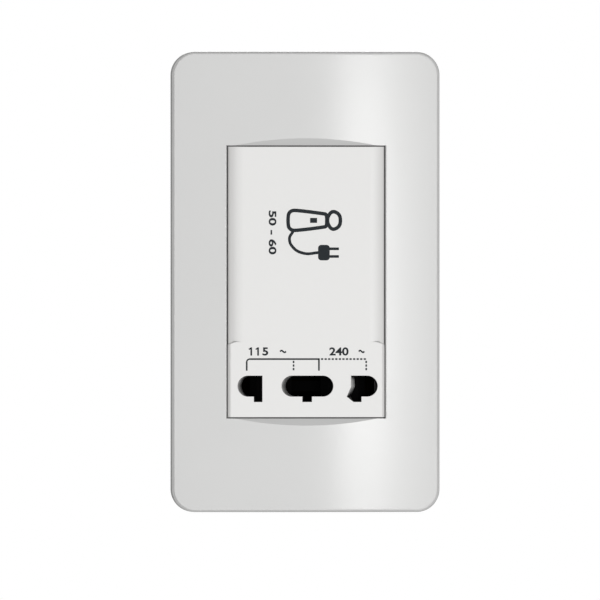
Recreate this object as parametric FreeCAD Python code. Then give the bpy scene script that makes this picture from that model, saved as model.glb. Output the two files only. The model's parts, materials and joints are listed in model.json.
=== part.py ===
import FreeCAD, Part
import math
import os

# Shaver supply unit in a convex cover plate, in millimetres.
# Front faces -Y, +X is right, +Z is up. The origin is the middle of the plate's rear rim, on the wall plane.

V = FreeCAD.Vector

# Cover plate
plate_width = 70.0
plate_height = 120.0
plate_corner_r = 6.0
plate_rim_y = -6.0
plate_crown_y = -9.0
plate_wall = 2.0
plate_edge_r = 1.0
window_gap = 0.4
window_edge_r = 0.7
facet_rise = 1.85
facet_half_width = 18.4
peg_inset_x = 7.0
peg_inset_z = 4.5
peg_width = 4.0
peg_thickness = 1.6
peg_barb = 0.3
peg_tip_gap = 0.5

# Insert face
insert_width = 40.6
insert_height = 70.4
face_y = -8.6
shoulder_width = 4.2
shoulder_drop = 0.75
face_edge_r = 0.35
upper_face_thickness = 2.2
socket_face_thickness = 4.2
skirt_wall = 1.6
skirt_end_y = 6.0
panel_height = 19.8
panel_corner_r = 5.5
panel_corner_cut = 3.0

# Pin entries, as seen on the face
entry_height = 8.05
entry_r = 2.74
blade_drop = 4.15
left_entry_x = (-17.95, -11.45)
centre_entry_x = (-6.47, 7.07)
right_entry_x = (11.55, 18.57)
left_blade_x = (-13.7, -11.45)
centre_blade_x = (-1.04, 1.49)
right_blade_x = (12.15, 14.37)
slant_start_drop = 0.25
slant_corner_x = 10.4
slant_corner_drop = 2.75
lead_in_depth = 3.0
lead_in = 1.25
blade_lead_in = 0.75
slant_lead_in_depth = 1.4
slant_lead_in = 1.45

# Mounting frame
frame_side_gap = 2.0
frame_end_gap = 3.0
frame_corner_r = 4.0
frame_thickness = 2.0
frame_rim_y = -4.8
frame_rim_wall = 1.4
fixing_spacing = 83.5
fixing_hole_r = 2.1
fixing_pad_r = 5.0
fixing_pad_height = 0.8
catch_clearance = 0.15
catch_size = 1.2
catch_length = 7.0
catch_depth = 2.2
catch_z = 12.0
catch_slot = 0.5
catch_arm_length = 6.6
ledge_thickness = 0.9
ledge_reach = 1.0

# Rear housing
housing_wall = 1.6
housing_inset = 0.2
housing_depth = 43.0
housing_corner_r = 2.0
housing_edge_r = 1.0
tongue_length = 2.9
tongue_thickness = 0.95
lug_height = 0.45
lug_length = 4.0
lug_width = 1.2
lug_z = (-22.0, 22.0)
lug_clearance = 0.2
running_gap = 0.1
wire_entry_size = 5.0
screw_access_r = 2.9

# Transformer
core_carrier_gap = 6.9
core_side_room = 1.0
core_back = 7.0
core_stack = 20.0
coil_rear_room = 3.6
core_top_gap = 0.8
bobbin_clearance = 0.15
bobbin_wall = 0.9
bobbin_flange = 0.8
flange_gap = 0.3
flange_reach_y = 6.8
winding_step = 0.9
winding_corner_r = 1.5
tape_thickness = 0.3
cutout_size = (9.0, 3.2, 6.0)
cutout_corner_r = 0.6
post_size = 3.0
post_inset = 0.5

# Shutter and its springs
shutter_gap = 0.2
shutter_thickness = 1.6
shutter_travel = 2.95
shutter_ramp = 1.8
shutter_ramp_land = 0.3
shutter_bottom_gap = 1.3
shutter_height = 15.0
shutter_end_gap = 0.15
spring_window_half = 13.0
spring_window_rise = 4.55
spring_window_height = 4.0
spring_post_half = 1.2
spring_strip = 0.3
spring_folds = 6
spring_end_gap = 0.05
spring_side_gap = 0.4
plunger_spring_half = 2.2
plunger_spring_width = 1.6

# Contact carrier
carrier_side_gap = 0.2
deck_gap = 0.3
deck_thickness = 1.4
carrier_end_gap = 0.1
carrier_height = 17.0
carrier_wall = 1.1
carrier_entry_room = 0.3
carrier_right_room = 2.0
spring_post_gap = 0.3
chamber_height = 11.9
partition_x = 9.3

# Contacts
contact_strip = 0.5
contact_front_y = 0.2
contact_rear_y = 13.5
contact_seat_gap = 0.05
contact_side_gap = 0.3
grip_half = 2.2
grip_length = 3.0

# Switch
plunger_front_y = 3.0
plunger_travel = 7.5
plunger_pad = (-5.0, 6.0)
plunger_pad_height = 2.6
plunger_pad_thickness = 1.6
stem_width = 3.0
stem_height = 2.0
stem_clearance = 0.3
plunger_stem_length = 13.0
plunger_head_length = 3.5
plunger_head_half = 3.5
plunger_head_height = 4.6
bridge_half = 6.05
bridge_thickness = 0.8
bridge_height = 3.0
plunger_spring_room = 5.1
wiper_gap = 0.05
wiper_strip = 0.6
wiper_length = 6.5
wiper_end_room = 2.7
wiper_foot = 3.0

# Terminals
terminal_size = (7.6, 10.0, 9.0)
terminal_gap = 0.1
terminal_inset = 1.0
terminal_bore_r = 2.1
terminal_bore_rise = 1.15
terminal_screw_r = 1.6
terminal_head_r = 2.5
terminal_head_height = 1.4
screw_slot_half = 0.3
screw_slot_depth = 0.5

# Places that follow from the sizes above
half_w = insert_width / 2
half_h = insert_height / 2
face_inner_y = face_y + socket_face_thickness
upper_inner_y = face_y + upper_face_thickness
skirt_inner_x = half_w - skirt_wall
skirt_inner_z = half_h - skirt_wall
housing_half_w = half_w - housing_inset
housing_half_h = half_h - housing_inset
housing_inner_x = housing_half_w - housing_wall
housing_inner_z = housing_half_h - housing_wall
housing_inner_y = housing_depth - housing_wall
core_width = 2 * (housing_inner_x - core_side_room)
core_leg_length = core_width - 2 * core_back
core_height = 2 * housing_inner_z - core_top_gap - core_carrier_gap - carrier_height - carrier_end_gap
core_side_leg = core_height / 6
core_leg = core_height / 3
core_top_z = housing_inner_z - core_top_gap
core_mid_z = core_top_z - core_height / 2
core_front_y = housing_inner_y - coil_rear_room - flange_reach_y - core_stack
core_mid_y = core_front_y + core_stack / 2
entry_z = -half_h + entry_height
entry_bottom_z = entry_z - blade_drop
panel_top_z = -half_h + panel_height
shutter_front_y = face_inner_y + shutter_gap
shutter_rear_y = shutter_front_y + shutter_thickness
deck_front_y = shutter_rear_y + deck_gap
deck_rear_y = deck_front_y + deck_thickness
carrier_half_w = housing_inner_x - carrier_side_gap
carrier_bottom_z = -housing_inner_z + carrier_end_gap
carrier_z = (carrier_bottom_z, carrier_bottom_z + carrier_height)
chamber_top_z = carrier_bottom_z + chamber_height
shutter_bottom_z = -skirt_inner_z + shutter_bottom_gap
shutter_z = (shutter_bottom_z, shutter_bottom_z + shutter_height)
spring_window_z = (entry_z + spring_window_rise, entry_z + spring_window_rise + spring_window_height)
terminal_bore_z = entry_z + terminal_bore_rise
frame_width = plate_width - 2 * (plate_wall + frame_side_gap)
frame_height = plate_height - 2 * (plate_wall + frame_end_gap)
peg_x = frame_width / 2 - peg_inset_x
peg_z = frame_height / 2 - peg_inset_z
chamber_z = (carrier_z[0] + carrier_wall, chamber_top_z - carrier_wall)
contact_margin = contact_strip / 2 + contact_seat_gap
plunger_head_y = (
    plunger_front_y + plunger_stem_length,
    plunger_front_y + plunger_stem_length + plunger_head_length,
)
bridge_rear_y = plunger_head_y[1] + bridge_thickness
wiper_rear_y = bridge_rear_y + plunger_travel + wiper_end_room
wiper_front_y = wiper_rear_y - wiper_length
carrier_rear_y = bridge_rear_y + plunger_travel + plunger_spring_room + carrier_wall
terminal_rear_y = carrier_rear_y - terminal_inset
terminal_x = partition_x + carrier_wall + terminal_gap + terminal_size[0] / 2


def block(x, y, z):
    """A box between two places on each axis."""
    return Part.makeBox(x[1] - x[0], y[1] - y[0], z[1] - z[0], V(x[0], y[0], z[0]))


def edges_along(shape, axis):
    """The straight edges of a shape that run along an axis."""
    found = []
    for edge in shape.Edges:
        a, b = edge.Vertexes[0].Point, edge.Vertexes[-1].Point
        run = b - a
        if run.Length > 1e-6 and abs(run.dot(axis)) > 0.9999 * run.Length:
            found.append(edge)
    return found


def soft_block(x, y, z, radius):
    """A box whose four edges along Y are rounded."""
    shape = block(x, y, z)
    return shape.makeFillet(radius, edges_along(shape, V(0, 1, 0)))


def prism(points, direction):
    """A solid from a flat closed outline, pushed along a direction."""
    wire = Part.makePolygon(points + [points[0]])
    return Part.Face(wire).extrude(direction)


def rod(radius, start, end):
    """A round bar between two points."""
    run = end - start
    return Part.makeCylinder(radius, run.Length, start, run)


def mirrored_x(shape):
    """The same shape on the other side of the middle plane."""
    return shape.mirror(V(0, 0, 0), V(1, 0, 0))


def convex_slab(half_width, half_height, corner_r, crown_y, back_y, radius):
    """A rounded block whose front is a cylinder about an upright axis."""
    depth = radius / 10
    slab = soft_block((-half_width, half_width), (crown_y - depth, back_y), (-half_height, half_height), corner_r)
    drum = Part.makeCylinder(radius, 3 * half_height, V(0, crown_y + radius, -1.5 * half_height), V(0, 0, 1))
    return slab.common(drum)


def surface_y(x, crown_y, radius):
    """Where the convex front lies at a distance from the middle."""
    return crown_y + radius - math.sqrt(radius**2 - x**2)


rise = plate_rim_y - plate_crown_y
plate_r = ((plate_width / 2) ** 2 + rise**2) / (2 * rise)
inner_crown_y = plate_crown_y + plate_wall
window_half_w = half_w + window_gap
window_half_h = half_h + window_gap


def make_cover_plate():
    outer = convex_slab(plate_width / 2, plate_height / 2, plate_corner_r, plate_crown_y, 0, plate_r)
    front_edges = [e for e in outer.Edges if e.BoundBox.YMax < plate_rim_y + 0.01]
    outer = outer.makeFillet(plate_edge_r, front_edges)
    inner = convex_slab(
        plate_width / 2 - plate_wall,
        plate_height / 2 - plate_wall,
        plate_corner_r - plate_wall,
        inner_crown_y,
        plate_wall,
        plate_r - plate_wall,
    )
    shell = outer.cut(inner)
    shell = shell.cut(block(
        (-window_half_w, window_half_w), (plate_crown_y - 1, plate_wall), (-window_half_h, window_half_h)
    ))
    shell = shell.makeFillet(window_edge_r, [e for e in edges_along(shell, V(0, 0, 1)) if on_window_side(e)])
    facet_y = surface_y(facet_half_width, plate_crown_y, plate_r)
    fall = facet_y - plate_crown_y
    for side in (-1, 1):
        edge_z = side * window_half_h
        wedge = [
            V(-window_half_w, facet_y, edge_z),
            V(-window_half_w, facet_y - 2 * fall, edge_z + side * 2 * facet_rise),
            V(-window_half_w, facet_y - 2 * fall, edge_z - side),
            V(-window_half_w, facet_y, edge_z - side),
        ]
        shell = shell.cut(prism(wedge, V(2 * window_half_w, 0, 0)))
    return shell.fuse(plate_pegs()).removeSplitter()


def on_window_side(edge):
    """Whether an upright edge is a front side edge of the window."""
    box = edge.BoundBox
    edge_y = surface_y(window_half_w, plate_crown_y, plate_r)
    return abs(abs(box.XMin) - window_half_w) < 0.01 and abs(box.YMin - edge_y) < 0.01


def plate_pegs():
    """Four barbed pegs that snap into the mounting frame."""
    pegs = []
    root_y = surface_y(peg_x, inner_crown_y, plate_r - plate_wall) - plate_wall / 2
    for sx in (-1, 1):
        for sz in (-1, 1):
            x = sx * peg_x
            z = sz * peg_z
            half = peg_thickness / 2
            outline = [
                V(x - peg_width / 2, root_y, z - half),
                V(x - peg_width / 2, root_y, z + half),
                V(x - peg_width / 2, -peg_tip_gap - 2 * peg_barb, z + half),
                V(x - peg_width / 2, -peg_tip_gap - peg_barb, z + half + peg_barb),
                V(x - peg_width / 2, -peg_tip_gap, z + half),
                V(x - peg_width / 2, -peg_tip_gap, z - half),
            ]
            pegs.append(prism(outline, V(peg_width, 0, 0)))
    return pegs


def make_mounting_frame():
    frame = soft_block(
        (-frame_width / 2, frame_width / 2),
        (-frame_thickness, 0),
        (-frame_height / 2, frame_height / 2),
        frame_corner_r,
    )
    rim = window_half_w + frame_rim_wall
    rim_z = window_half_h + frame_rim_wall
    frame = frame.fuse(soft_block((-rim, rim), (frame_rim_y, 0), (-rim_z, rim_z), frame_rim_wall))
    for side in (-1, 1):
        middle = V(0, -frame_thickness, side * fixing_spacing / 2)
        frame = frame.fuse(rod(fixing_pad_r, middle + V(0, -fixing_pad_height, 0), middle + V(0, 1, 0)))
    frame = frame.cut(
        block((-window_half_w, window_half_w), (frame_rim_y - 1, 1), (-window_half_h, window_half_h))
    )
    slot_half_w = peg_width / 2 + window_gap
    slot_half_h = peg_thickness / 2 + peg_barb + window_gap / 2
    for sz in (-1, 1):
        z = sz * fixing_spacing / 2
        frame = frame.cut(rod(fixing_hole_r, V(0, -frame_thickness - 2, z), V(0, 1, z)))
        for sx in (-1, 1):
            x = sx * peg_x
            z_peg = sz * peg_z
            slot = block(
                (x - slot_half_w, x + slot_half_w),
                (-frame_thickness - 1, 1),
                (z_peg - slot_half_h, z_peg + slot_half_h),
            )
            frame = frame.cut(slot)
    return frame.removeSplitter()


def arc_edge(centre, radius, start_deg, end_deg, y):
    """An arc in an upright plane, turned about the Y axis from +X towards +Z."""
    points = []
    for angle in (start_deg, (start_deg + end_deg) / 2, end_deg):
        a = math.radians(angle)
        points.append(V(centre[0] + radius * math.cos(a), y, centre[1] + radius * math.sin(a)))
    return Part.Arc(*points).toShape()


def line_edges(points, y):
    """Straight edges through points of an upright plane."""
    flat = [V(x, y, z) for x, z in points]
    return [Part.LineSegment(a, b).toShape() for a, b in zip(flat, flat[1:])]


def slot_wire(x, blade_x, shift, blade_shift, y, round_right):
    """The outline of a pin entry with a blade slot below; a shift moves the left walls inwards."""
    top = entry_z + entry_r
    low = entry_z - entry_r
    left_c = x[0] + entry_r + shift
    right_c = x[1] - entry_r
    blade_left = blade_x[0] + blade_shift
    edges = [arc_edge((left_c, entry_z), entry_r, 90, 270, y)]
    path = [(left_c, low), (blade_left, low), (blade_left, entry_bottom_z), (blade_x[1], entry_bottom_z)]
    if round_right:
        path += [(blade_x[1], low), (right_c, low)]
        edges += line_edges(path, y)
        edges.append(arc_edge((right_c, entry_z), entry_r, -90, 90, y))
        edges += line_edges([(right_c, top), (left_c, top)], y)
    else:
        path += [(x[1], top), (left_c, top)]
        edges += line_edges(path, y)
    return Part.Wire(edges)


def slant_wire(shift, y):
    """The outline of the right entry, whose left wall slants to take angled blades."""
    top = entry_z + entry_r
    low = entry_z - entry_r
    right_c = right_entry_x[1] - entry_r
    path = [
        (right_c, top),
        (right_entry_x[0] + shift, top),
        (right_entry_x[0] + shift, entry_z - slant_start_drop),
        (slant_corner_x + shift, entry_z - slant_corner_drop),
        (right_blade_x[0] + shift / 3, entry_bottom_z),
        (right_blade_x[1], entry_bottom_z),
        (right_blade_x[1], low),
        (right_c, low),
    ]
    edges = line_edges(path, y)
    edges.append(arc_edge((right_c, entry_z), entry_r, -90, 90, y))
    return Part.Wire(edges)


def entry_cutter(outline, depth):
    """A pin entry: a lead-in that narrows over its depth, then straight walls to the back of the face."""
    front = outline(False, face_y)
    inner = outline(True, face_y + depth)
    lead = Part.makeLoft([front, inner], True, True)
    mouth = Part.Face(front).extrude(V(0, -1, 0))
    rest = Part.Face(inner).extrude(V(0, socket_face_thickness - depth + 1, 0))
    return lead.fuse([mouth, rest])


def left_outline(narrow, y):
    return slot_wire(left_entry_x, left_blade_x, lead_in * narrow, blade_lead_in * narrow, y, False)


def centre_outline(narrow, y):
    return slot_wire(centre_entry_x, centre_blade_x, lead_in * narrow, blade_lead_in * narrow, y, True)


def right_outline(narrow, y):
    return slant_wire(slant_lead_in * narrow, y)


def face_section(z):
    """The insert's section from above: flat in the middle, rolled off at both sides."""
    arc_r = (shoulder_width**2 + shoulder_drop**2) / (2 * shoulder_drop)
    flat = half_w - shoulder_width
    half_turn = math.asin(shoulder_width / arc_r) / 2
    mid_x = flat + arc_r * math.sin(half_turn)
    mid_y = face_y + arc_r * (1 - math.cos(half_turn))
    side_y = face_y + shoulder_drop
    edges = [
        Part.LineSegment(V(-half_w, skirt_end_y, z), V(-half_w, side_y, z)).toShape(),
        Part.Arc(V(-half_w, side_y, z), V(-mid_x, mid_y, z), V(-flat, face_y, z)).toShape(),
        Part.LineSegment(V(-flat, face_y, z), V(flat, face_y, z)).toShape(),
        Part.Arc(V(flat, face_y, z), V(mid_x, mid_y, z), V(half_w, side_y, z)).toShape(),
        Part.LineSegment(V(half_w, side_y, z), V(half_w, skirt_end_y, z)).toShape(),
        Part.LineSegment(V(half_w, skirt_end_y, z), V(-half_w, skirt_end_y, z)).toShape(),
    ]
    return Part.Face(Part.Wire(edges))


def lower_panel():
    """The flat panel round the entries, full width, with rounded upper corners."""
    arc_c = (half_w - panel_corner_cut, panel_top_z - panel_corner_r)
    start = math.degrees(math.acos(panel_corner_cut / panel_corner_r))
    end_z = arc_c[1] + panel_corner_r * math.sin(math.radians(start))
    edges = line_edges([(-half_w, end_z), (-half_w, -half_h), (half_w, -half_h), (half_w, end_z)], face_y)
    edges.append(arc_edge(arc_c, panel_corner_r, start, 90, face_y))
    edges += line_edges([(arc_c[0], panel_top_z), (-arc_c[0], panel_top_z)], face_y)
    edges.append(arc_edge((-arc_c[0], arc_c[1]), panel_corner_r, 90, 180 - start, face_y))
    return Part.Face(Part.Wire(edges)).extrude(V(0, 2 * shoulder_drop, 0))


def make_front_cover():
    body = face_section(-half_h).extrude(V(0, 0, insert_height))
    body = body.fuse(lower_panel()).removeSplitter()
    front_edges = [e for e in body.Edges if on_face_border(e)]
    body = body.makeFillet(face_edge_r, front_edges)
    body = body.fuse(frame_ledge())
    upper = (panel_top_z, skirt_inner_z)
    lower = (-skirt_inner_z, panel_top_z)
    body = body.cut(block((-skirt_inner_x, skirt_inner_x), (upper_inner_y, skirt_end_y + 1), upper))
    body = body.cut(block((-skirt_inner_x, skirt_inner_x), (face_inner_y, skirt_end_y + 1), lower))
    body = body.cut(tongue_space())
    for cutter in (
        entry_cutter(left_outline, lead_in_depth),
        entry_cutter(centre_outline, lead_in_depth),
        entry_cutter(right_outline, slant_lead_in_depth),
    ):
        body = body.cut(cutter)
    body = body.fuse(core_posts(upper_inner_y - 1, core_front_y))
    body = body.cut(catch_slots())
    body = body.fuse(catches())
    body = body.cut(lugs(lug_clearance))
    return body.removeSplitter()


def on_face_border(edge):
    """Whether an edge runs round the outside of the insert's face."""
    box = edge.BoundBox
    if box.YMax > face_y + shoulder_drop + 0.01:
        return False
    on_side = min(abs(abs(box.XMin) - half_w), abs(abs(box.XMax) - half_w)) < 0.01 and box.XLength < 0.01
    on_end = box.ZLength < 0.01 and abs(abs(box.ZMin) - half_h) < 0.01
    return on_side or on_end


def tongue_space():
    """The rebate inside the skirt's end that takes the housing's tongue."""
    x = housing_inner_x + tongue_thickness + running_gap
    z = housing_inner_z + tongue_thickness + running_gap
    return block((-x, x), (skirt_end_y - tongue_length - running_gap, skirt_end_y + 1), (-z, z))


def lugs(clearance):
    """Snap lugs on the tongue's long sides; with a clearance, the windows that they snap into."""
    y_mid = skirt_end_y - tongue_length / 2
    x0 = housing_inner_x + tongue_thickness / 2
    x1 = housing_inner_x + tongue_thickness + lug_height + (2 if clearance else 0)
    found = []
    for z in lug_z:
        lug = block(
            (x0, x1),
            (y_mid - lug_width / 2 - clearance, y_mid + lug_width / 2 + clearance),
            (z - lug_length / 2 - clearance, z + lug_length / 2 + clearance),
        )
        found += [lug, mirrored_x(lug)]
    return Part.makeCompound(found)


def core_posts(y0, y1):
    """Four posts that press on the corners of the core."""
    found = []
    x = core_width / 2 - post_size
    for side in (-1, 1):
        z = core_mid_z + side * (core_height / 2 - post_size / 2 - post_inset)
        post = block((x, x + post_size), (y0, y1), (z - post_size / 2, z + post_size / 2))
        found += [post, mirrored_x(post)]
    return found


def frame_ledge():
    """The ledge all round the skirt that rests on the frame's rim, behind the plate."""
    x = half_w + ledge_reach
    z = half_h + ledge_reach
    return soft_block((-x, x), (frame_rim_y - ledge_thickness, frame_rim_y), (-z, z), ledge_reach)


def catches():
    """Wedges that snap behind the frame."""
    found = []
    root = half_w - skirt_wall / 2
    tip = half_w + catch_size
    for side in (-1, 1):
        z0 = side * catch_z - catch_length / 2
        wedge = [
            V(root, catch_clearance, z0),
            V(tip, catch_clearance, z0),
            V(tip, catch_clearance + catch_depth / 3, z0),
            V(half_w, catch_clearance + catch_depth, z0),
            V(root, catch_clearance + catch_depth, z0),
        ]
        catch = prism(wedge, V(0, 0, catch_length))
        found += [catch, mirrored_x(catch)]
    return found


def catch_slots():
    """Slots round each catch, so that it sits on a springy arm of the skirt."""
    found = []
    x = (skirt_inner_x - 1, half_w + 1)
    end_y = catch_clearance + catch_depth + catch_slot / 10
    y = (end_y - catch_arm_length, end_y + catch_slot)
    for side in (-1, 1):
        z0 = side * catch_z - catch_length / 2
        z1 = z0 + catch_length
        for slot in (
            block(x, y, (z0 - catch_slot, z0)),
            block(x, y, (z1, z1 + catch_slot)),
            block(x, (end_y, end_y + catch_slot), (z0, z1)),
        ):
            found += [slot, mirrored_x(slot)]
    return found


def make_rear_housing():
    body = soft_block(
        (-housing_half_w, housing_half_w),
        (skirt_end_y, housing_depth),
        (-housing_half_h, housing_half_h),
        housing_corner_r,
    )
    rear_edges = [e for e in body.Edges if e.BoundBox.YMin > housing_depth - 0.01]
    body = body.makeFillet(housing_edge_r, rear_edges)
    tongue_x = housing_inner_x + tongue_thickness
    tongue_z = housing_inner_z + tongue_thickness
    tongue_y = (skirt_end_y - tongue_length, skirt_end_y + 1)
    body = body.fuse(block((-tongue_x, tongue_x), tongue_y, (-tongue_z, tongue_z)))
    hollow = block(
        (-housing_inner_x, housing_inner_x),
        (skirt_end_y - tongue_length - 1, housing_inner_y),
        (-housing_inner_z, housing_inner_z),
    )
    body = body.cut(hollow)
    body = body.fuse(core_posts(core_front_y + core_stack, housing_inner_y + 1))
    body = body.fuse(lugs(0))
    half = wire_entry_size / 2
    screw_y = terminal_rear_y - terminal_size[1] / 2
    for side in (-1, 1):
        x = side * terminal_x
        entry = block(
            (x - half, x + half),
            (housing_inner_y - 1, housing_depth + 1),
            (terminal_bore_z - half, terminal_bore_z + half),
        )
        body = body.cut(entry)
        well = rod(screw_access_r, V(x, screw_y, -housing_half_h - 1), V(x, screw_y, -housing_inner_z + 1))
        body = body.cut(well)
    return body.removeSplitter()


def make_core_e_stack():
    left = -core_width / 2
    y = (core_front_y, core_front_y + core_stack)
    z0 = core_mid_z - core_height / 2
    core = block((left, left + core_back), y, (z0, z0 + core_height))
    leg_x = (left + core_back, left + core_back + core_leg_length)
    for centre, size in (
        (z0 + core_side_leg / 2, core_side_leg),
        (core_mid_z, core_leg),
        (z0 + core_height - core_side_leg / 2, core_side_leg),
    ):
        core = core.fuse(block(leg_x, y, (centre - size / 2, centre + size / 2)))
    return core.removeSplitter()


def make_core_i_stack():
    right = core_width / 2
    z0 = core_mid_z - core_height / 2
    y = (core_front_y, core_front_y + core_stack)
    return block((right - core_back, right), y, (z0, z0 + core_height))


# The coil sits round the centre leg, in its own half-sizes along Y and Z
tube_in_y = core_stack / 2 + bobbin_clearance
tube_in_z = core_leg / 2 + bobbin_clearance
tube_out_y = tube_in_y + bobbin_wall
tube_out_z = tube_in_z + bobbin_wall
flange_y = core_stack / 2 + flange_reach_y
flange_z = core_height / 2 - core_side_leg - flange_gap
coil_half_x = core_leg_length / 2 - flange_gap


def coil_block(x, half_y, half_z, radius):
    """A block round the centre leg, with edges along X rounded."""
    shape = block(x, (core_mid_y - half_y, core_mid_y + half_y), (core_mid_z - half_z, core_mid_z + half_z))
    if radius:
        shape = shape.makeFillet(radius, edges_along(shape, V(1, 0, 0)))
    return shape


def make_bobbin():
    body = coil_block((-coil_half_x, coil_half_x), tube_out_y, tube_out_z, 0)
    for x in (-coil_half_x, -bobbin_flange / 2, coil_half_x - bobbin_flange):
        body = body.fuse(coil_block((x, x + bobbin_flange), flange_y, flange_z, winding_corner_r))
    body = body.cut(coil_block((-coil_half_x - 1, coil_half_x + 1), tube_in_y, tube_in_z, 0))
    return body.removeSplitter()


def winding_x(side):
    """The room between the middle flange and an end flange, with a hair of clearance."""
    inner = bobbin_flange / 2 + bobbin_clearance
    outer = coil_half_x - bobbin_flange - bobbin_clearance
    return (-outer, -inner) if side < 0 else (inner, outer)


def make_winding(side):
    x = winding_x(side)
    outer = coil_block(x, flange_y - winding_step, flange_z - winding_step, winding_corner_r)
    return outer.cut(coil_block(x, tube_out_y, tube_out_z, 0))


def make_tape(side):
    x = winding_x(side)
    y = flange_y - winding_step
    z = flange_z - winding_step
    outer = coil_block(x, y + tape_thickness, z + tape_thickness, winding_corner_r + tape_thickness)
    return outer.cut(coil_block(x, y, z, winding_corner_r))


def make_thermal_cutout():
    x_mid = sum(winding_x(-1)) / 2
    y0 = core_mid_y + flange_y - winding_step + tape_thickness
    dx, dy, dz = cutout_size
    body = block((x_mid - dx / 2, x_mid + dx / 2), (y0, y0 + dy), (core_mid_z - dz / 2, core_mid_z + dz / 2))
    return body.makeFillet(cutout_corner_r, edges_along(body, V(0, 0, 1)))


def make_shutter():
    """A plate whose ends stand in front of the outer entries, with ramps that let a pin push it aside."""
    y = (shutter_front_y, shutter_rear_y)
    left = left_entry_x[1] - shutter_travel
    right = skirt_inner_x - shutter_end_gap - shutter_travel
    body = block((left, right), y, shutter_z)
    cut_y = (y[0] - 1, y[1] + 1)
    z = (entry_bottom_z - shutter_gap, entry_z + entry_r + shutter_gap)
    hole = (centre_entry_x[0] + shutter_travel, centre_entry_x[1] - shutter_travel)
    body = body.cut(block(hole, cut_y, z))
    body = body.cut(block((-spring_window_half, spring_window_half), cut_y, spring_window_z))
    for edge, way in ((left, 1), (hole[0], -1), (hole[1], 1), (right, -1)):
        ramp = [
            V(edge - way, shutter_front_y - 1, z[0]),
            V(edge + way * shutter_ramp, shutter_front_y - 1, z[0]),
            V(edge + way * shutter_ramp, shutter_front_y, z[0]),
            V(edge, shutter_rear_y - shutter_ramp_land, z[0]),
            V(edge - way, shutter_rear_y - shutter_ramp_land, z[0]),
        ]
        body = body.cut(prism(ramp, V(0, 0, z[1] - z[0])))
    return body.removeSplitter()


def strip_section(points, thickness):
    """A bent strip's section, with rounded bends, from its middle line."""
    line = Part.makePolygon(points)
    return Part.Face(line.makeOffset2D(thickness / 2, join=0, fill=False, openResult=False))


def fold_line(start, end, half_width):
    """The middle line of a spring folded to and fro, as places along it and across it."""
    first = start + spring_strip / 2
    pitch = (end - start - spring_strip) / spring_folds
    return [(first + i * pitch, half_width if i % 2 else -half_width) for i in range(spring_folds + 1)]


def make_shutter_spring(side):
    start = spring_post_half + spring_end_gap
    end = spring_window_half - spring_end_gap
    mid = sum(spring_window_z) / 2
    half = (spring_window_z[1] - spring_window_z[0]) / 2 - spring_side_gap
    points = [V(along, shutter_front_y, mid + across) for along, across in fold_line(start, end, half)]
    spring = strip_section(points, spring_strip).extrude(V(0, shutter_thickness, 0))
    return spring if side > 0 else mirrored_x(spring)


def make_contact_carrier():
    x = (-carrier_half_w, carrier_half_w)
    body = block(x, (deck_front_y, deck_rear_y), carrier_z)
    full_y = (deck_front_y, carrier_rear_y)
    body = body.fuse(block(x, full_y, (carrier_z[0], carrier_z[0] + carrier_wall)))
    body = body.fuse(block(x, full_y, (chamber_top_z - carrier_wall, chamber_top_z)))
    wall_z = (carrier_z[0], chamber_top_z)
    for side in (-1, 1):
        wall_x = sorted((side * partition_x, side * (partition_x + carrier_wall)))
        body = body.fuse(block(wall_x, full_y, wall_z))
    rear = (carrier_rear_y - carrier_wall, carrier_rear_y)
    body = body.fuse(block((-partition_x, partition_x), rear, wall_z))
    post_z = (spring_window_z[0] + spring_post_gap, spring_window_z[1] - spring_post_gap)
    body = body.fuse(block((-spring_post_half, spring_post_half), (shutter_front_y, deck_rear_y), post_z))
    room = carrier_entry_room
    z = (entry_bottom_z - room, entry_z + entry_r + room)
    for left, right in (
        (left_entry_x[0], left_entry_x[1] + room),
        (centre_entry_x[0], centre_entry_x[1] + room),
        (right_entry_x[0], right_entry_x[1] + carrier_right_room),
    ):
        body = body.cut(block((left, right), (deck_front_y - 0.1, deck_rear_y + 0.1), z))
    screw_y = terminal_rear_y - terminal_size[1] / 2
    for side in (-1, 1):
        tx = side * terminal_x
        body = body.cut(rod(screw_access_r, V(tx, screw_y, carrier_z[0] - 1), V(tx, screw_y, chamber_z[0] + 1)))
    return body.removeSplitter()


def make_contact(x, window):
    """A spring clip open towards the face: two bowed leaves and a rear web."""
    low, high = chamber_z[0] + contact_margin, chamber_z[1] - contact_margin
    mid_y = (contact_front_y + contact_rear_y) / 2
    bends = [
        (contact_front_y, high),
        (mid_y - grip_length, entry_z + grip_half),
        (mid_y, entry_z + grip_half),
        (contact_rear_y, high),
        (contact_rear_y, low),
        (mid_y, entry_z - grip_half),
        (mid_y - grip_length, entry_z - grip_half),
        (contact_front_y, low),
    ]
    section = strip_section([V(0, y, z) for y, z in bends], contact_strip)
    section.translate(V(x[0], 0, 0))
    clip = section.extrude(V(x[1] - x[0], 0, 0))
    if window:
        half_w2 = stem_width / 2 + stem_clearance
        half_h2 = stem_height / 2 + stem_clearance
        clip = clip.cut(
            block(
                (-half_w2, half_w2),
                (contact_rear_y - 2, contact_rear_y + 2),
                (entry_z - half_h2, entry_z + half_h2),
            )
        )
    return clip


def make_switch_plunger():
    pad_z = (entry_z - plunger_pad_height / 2, entry_z + plunger_pad_height / 2)
    body = block(plunger_pad, (plunger_front_y, plunger_front_y + plunger_pad_thickness), pad_z)
    stem = block(
        (-stem_width / 2, stem_width / 2),
        (plunger_front_y, plunger_head_y[1]),
        (entry_z - stem_height / 2, entry_z + stem_height / 2),
    )
    head = block(
        (-plunger_head_half, plunger_head_half),
        plunger_head_y,
        (entry_z - plunger_head_height / 2, entry_z + plunger_head_height / 2),
    )
    return body.fuse([stem, head]).removeSplitter()


def make_bridge_contact():
    y0 = plunger_head_y[1]
    z = (entry_z - bridge_height / 2, entry_z + bridge_height / 2)
    return block((-bridge_half, bridge_half), (y0, y0 + bridge_thickness), z)


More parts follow.
